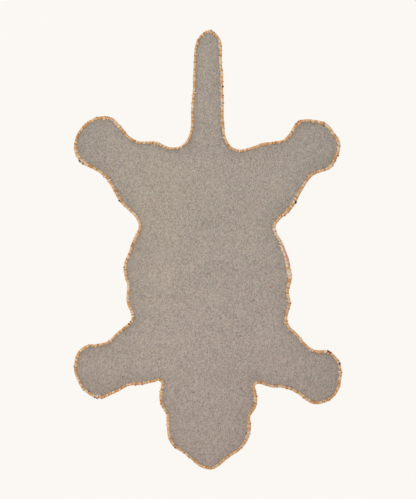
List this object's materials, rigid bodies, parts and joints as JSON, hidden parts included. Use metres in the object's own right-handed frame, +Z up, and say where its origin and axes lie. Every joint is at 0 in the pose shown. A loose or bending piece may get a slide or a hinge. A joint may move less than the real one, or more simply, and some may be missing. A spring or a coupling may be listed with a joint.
{
  "type": "animal-shaped tufted rug",
  "caption": "Flat hand-tufted rug in the outline of a spread animal pelt, lying pile down, with a grey canvas backing and an edge whipped in ochre yarn.",
  "frame": {"origin": "on the floor, under the middle of the outline's box", "axes": "+Z up from the pile to the canvas, +Y towards the tail tip, +X to the right when seen from above with the tail at the top"},
  "size_m": [0.6112, 1, 0.012],
  "materials": {
    "wool_pile": "short cut wool pile, ochre",
    "canvas": "plain weave canvas of mixed grey and sand threads, matt",
    "whipping_yarn": "wool yarn in slanting stitches, ochre to cream, matt"
  },
  "bodies": {
    "root": {"pile": "wool_pile", "backing": "canvas", "edge_whipping": "whipping_yarn"}
  },
  "joints": []
}
